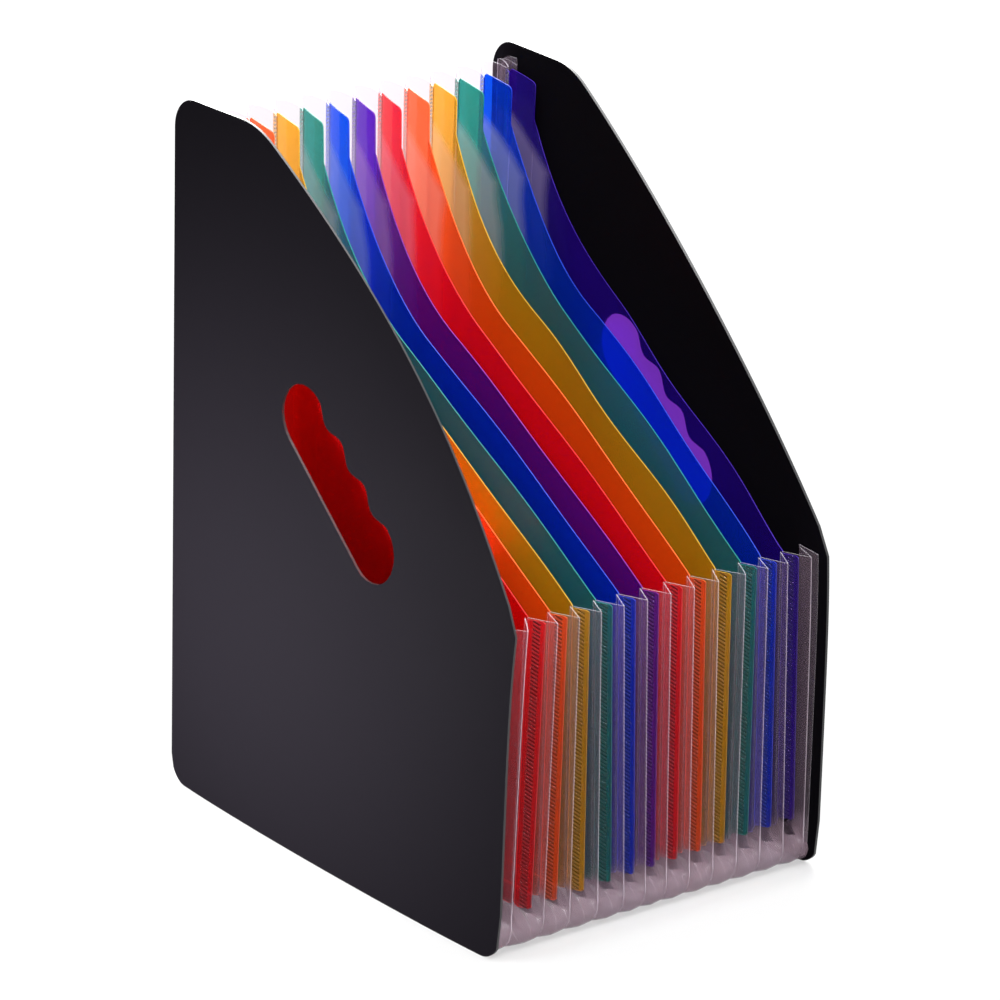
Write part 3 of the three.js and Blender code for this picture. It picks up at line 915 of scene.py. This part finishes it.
def gusset_material():
    """Clear film with a faint grey haze, clearest where it is welded to a sheet's flap,
    hazier and darker below the flaps as painted shade, and with a painted highlight along its
    folds."""
    material, tree = new_material("gusset_clear")
    coordinates = node(tree, "TexCoord").outputs
    place = coordinates["Object"]
    height = split(tree, place)[2]
    fold = node(tree, "Attribute", attribute_name="fold").outputs["Fac"]
    cloud = noise(tree, place, scale=30.0, detail=2.0)
    near_flap = maths(tree, "LESS_THAN", split(tree, coordinates["UV"])[0], FLAP_WIDTH)
    above_foot = maths(tree, "GREATER_THAN", height, FLAP_LOW * MM)
    welded = maths(tree, "MULTIPLY", near_flap, above_foot)
    foot_shade_stretch = (FLAP_LOW * MM, FOOT_SHADE_TOP * MM)
    # painted shade at the foot, fading out upwards
    free = ramp(tree, height, foot_shade_stretch, (FOOT_SHADE_HAZE, FREE_HAZE), smooth=True)
    haze = maths(tree, "MULTIPLY", free, maths(tree, "SUBTRACT", 1.0, welded))
    haze = maths(tree, "MULTIPLY_ADD", welded, WELDED_HAZE, haze)
    haze = maths(tree, "MULTIPLY_ADD", cloud, CLOUD_HAZE, haze)
    haze = maths(tree, "MULTIPLY_ADD", fold, FOLD_HIGHLIGHT_HAZE, haze, clamp=True)
    # painted highlight: the fold colour mixed in along the folds
    tone = blend_colours(tree, fold, FILM_HAZE_AND_SHADE, FILM_FOLD_HIGHLIGHT)
    normal = relief(tree, cloud, strength=0.4, distance=0.001)
    skin = plastic(tree, tone, roughness=0.25, specular=0.4, more={"Normal": normal})
    glow = node(tree, "BsdfTranslucent", {"Color": tone}).outputs[0]
    solid = blend_shaders(tree, SCATTER, skin, glow)
    through = node(tree, "BsdfTransparent", {"Color": FILM_CLEAR}).outputs[0]
    finish_with(tree, blend_shaders(tree, haze, through, solid))
    return material


def gusset_rim_material():
    """The cut edge of the clear film: pale along the top, and hardly there down the seams,
    where the real film runs on."""
    material, tree = new_material("gusset_cut_edge")
    place = node(tree, "TexCoord").outputs["Object"]
    nicks = noise(tree, place, scale=200.0, detail=2.0)
    rough = ramp(tree, nicks, (0.0, 1.0), (0.25, 0.5))
    upwards = split(tree, node(tree, "NewGeometry").outputs["Normal"])[2]
    on_top = maths(tree, "GREATER_THAN", upwards, 0.5)
    alpha = maths(tree, "MULTIPLY_ADD", on_top, TOP_EDGE_ALPHA - SEAM_ALPHA, SEAM_ALPHA)
    finish_with(tree, plastic(tree, FILM_EDGE, rough, specular=0.5, more={"Alpha": alpha}))
    return material


# The colours of the dividers, from the front cover to the back one: the name of the slot, the
# face's own colour and the colour of the light that comes through
COLOURS = [
    ("red_sheet", "d8141c", "ff3c4a"),
    ("orange_sheet", "f4661a", "ff8458"),
    ("yellow_sheet", "d9a90f", "ffbf50"),
    ("teal_sheet", "0c8f80", "2aa39a"),
    ("blue_sheet", "0d40cc", "1668ff"),
    ("purple_sheet", "74189c", "6a2ad8"),
]
LAST_COLOUR = ("indigo_sheet", "3c12a4", "8a3cc8")


def sheet_finishes():
    """The face and rim material of each colour, by the name of its slot. Each of a sheet's
    two faces tints the light by half."""
    made = {}
    for slot, face, through in COLOURS + [LAST_COLOUR]:
        body = linear(face)
        clear = [c**0.5 for c in linear(through)]
        made[slot] = [sheet_material(slot, body, clear), sheet_rim_material(slot + "_edge", body)]
    return made


def fit(piece, node_name, body):
    """Puts a soft piece on its body in place of its node, on a mesh of its own."""
    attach(piece, body)
    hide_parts(node_name)
    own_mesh(piece)


board = [cover_material(), cover_rim_material()]
film = [gusset_material(), gusset_rim_material()]
finishes = sheet_finishes()

front_board = cover("front_board", -1, board)
fit(front_board, "front_cover", "front_cover")
back_board = cover("back_board", 1, board)
fit(back_board, "back_cover", "back_cover")

for k in range(1, DIVIDERS + 1):
    slot = LAST_COLOUR[0] if k == DIVIDERS else COLOURS[(k - 1) % len(COLOURS)][0]
    sheet = divider(k, finishes[slot])
    fit(sheet, divider_name(k), divider_name(k))

for k in range(DIVIDERS + 1):
    folded = pleat(k, film)
    body = "front_cover" if k == 0 else divider_name(k)
    fit(folded, pleat_name(k), body)


# The floor, the lamps and the camera
FLOOR_HALF = 6000.0
FLOOR_GREY = (0.35, 0.35, 0.35, 1.0)  # its colour for the light that it throws back
FLOOR_GLOW = 0.9  # how much of plain white the floor shows away from the file
FLOOR_GLOW_NEAR = 0.45
SHADOW_REACH = 18.0  # from the file to where the floor is all white
WORLD_LIGHT = 0.4


def looked_at(tree):
    """1 for what the camera sees straight, in gloss or through glass, and 0 for other light."""
    rays = node(tree, "LightPath").outputs
    seen = maths(tree, "MAXIMUM", rays["Is Camera Ray"], rays["Is Transmission Ray"])
    return maths(tree, "MAXIMUM", seen, rays["Is Glossy Ray"])


def floor():
    """A white floor: plain white away from the file, and shaded under and close to it."""
    half = FLOOR_HALF * MM
    mesh = bpy.data.meshes.new("floor")
    corners = [(-half, -half, 0), (half, -half, 0), (half, half, 0), (-half, half, 0)]
    mesh.from_pydata(corners, [], [(0, 1, 2, 3)])
    material, tree = new_material("floor_white")
    skin = node(tree, "BsdfDiffuse", {"Color": FLOOR_GREY}).outputs[0]
    shine = node(tree, "Emission", {"Color": WHITE, "Strength": 1.0}).outputs[0]
    apart = node(tree, "TexCoord").outputs["Object"]
    apart = node(tree, "VectorMath", {0: apart}, operation="ABSOLUTE").outputs[0]
    edge = (FOLD_X[-1] * MM, COVER_HALF_DEPTH * MM, 0)
    apart = node(tree, "VectorMath", {0: apart, 1: edge}, operation="SUBTRACT").outputs[0]
    apart = node(tree, "VectorMath", {0: apart, 1: (0, 0, 0)}, operation="MAXIMUM").outputs[0]
    apart = node(tree, "VectorMath", {0: apart}, operation="LENGTH").outputs["Value"]
    near = (0.0, SHADOW_REACH * MM)
    glow = ramp(tree, apart, near, (FLOOR_GLOW_NEAR, FLOOR_GLOW), smooth=True)
    share = maths(tree, "MULTIPLY", looked_at(tree), glow)
    finish_with(tree, blend_shaders(tree, share, skin, shine))
    mesh.materials.append(material)
    made = bpy.data.objects.new("floor", mesh)
    bpy.context.scene.collection.objects.link(made)


def world():
    """White where the camera, gloss or glass looks, dimmer as a source of light."""
    made = bpy.data.worlds.new("studio")
    made.use_nodes = True
    tree = made.node_tree
    tree.nodes.clear()
    strength = ramp(tree, looked_at(tree), (0.0, 1.0), (WORLD_LIGHT, 1.0))
    back = node(tree, "Background", {"Color": WHITE, "Strength": strength}).outputs[0]
    output = tree.nodes.new("ShaderNodeOutputWorld")
    tree.links.new(back, output.inputs["Surface"])
    bpy.context.scene.world = made


def softbox(name, place, aim, size, watts, spread=180):
    """A square area lamp at a point in millimetres, aimed at another, with a beam of `spread`
    degrees."""
    lamp = bpy.data.lights.new(name, "AREA")
    lamp.shape = "SQUARE"
    lamp.size = size * MM
    lamp.energy = watts
    lamp.spread = math.radians(spread)
    made = bpy.data.objects.new(name, lamp)
    made.visible_camera = False
    made.location = Vector(place) * MM
    direction = Vector(aim) - Vector(place)
    made.rotation_euler = direction.to_track_quat("-Z", "Y").to_euler()
    bpy.context.scene.collection.objects.link(made)


CAMERA_TARGET = (0.0, -1.41, 157.2)
CAMERA_DISTANCE = 2522.3
CAMERA_AZIMUTH = math.radians(-38.38)
CAMERA_ELEVATION = math.radians(19.99)
CAMERA_ROLL = math.radians(1.5)
CAMERA_LENS = 202.64
CAMERA_CLIP_END = 50.0  # in metres


def camera():
    """The camera at the photograph's place: turned about the object, raised and rolled."""
    a, e, r = CAMERA_AZIMUTH, CAMERA_ELEVATION, CAMERA_ROLL
    back = Vector((math.sin(a) * math.cos(e), -math.cos(a) * math.cos(e), math.sin(e)))
    level = Vector((math.cos(a), math.sin(a), 0))
    raised = back.cross(level)
    right = level * math.cos(r) + raised * math.sin(r)
    up = raised * math.cos(r) - level * math.sin(r)
    data = bpy.data.cameras.new("camera")
    data.lens = CAMERA_LENS
    data.clip_end = CAMERA_CLIP_END
    made = bpy.data.objects.new("camera", data)
    turn = Matrix((right, up, back)).transposed().to_4x4()
    place = (Vector(CAMERA_TARGET) + back * CAMERA_DISTANCE) * MM
    made.matrix_world = Matrix.Translation(place) @ turn
    bpy.context.scene.collection.objects.link(made)
    bpy.context.scene.camera = made


floor()
world()
softbox("overhead_softbox", (0, 0, 1500), aim=(0, 0, 150), size=1300, watts=75)
softbox("rear_softbox", (900, 1100, 900), aim=(0, 0, 200), size=1200, watts=85)
softbox("front_softbox", (-300, -1600, 600), aim=(0, 0, 100), size=1000, watts=35)
softbox("low_left_softbox", (-400, 130, 20), aim=(-90, 50, 50), size=250, watts=5.6, spread=80)
camera()

scene = bpy.context.scene
scene.view_settings.view_transform = "Standard"
scene.cycles.transparent_max_bounces = 48  # enough for a look through the whole row of film
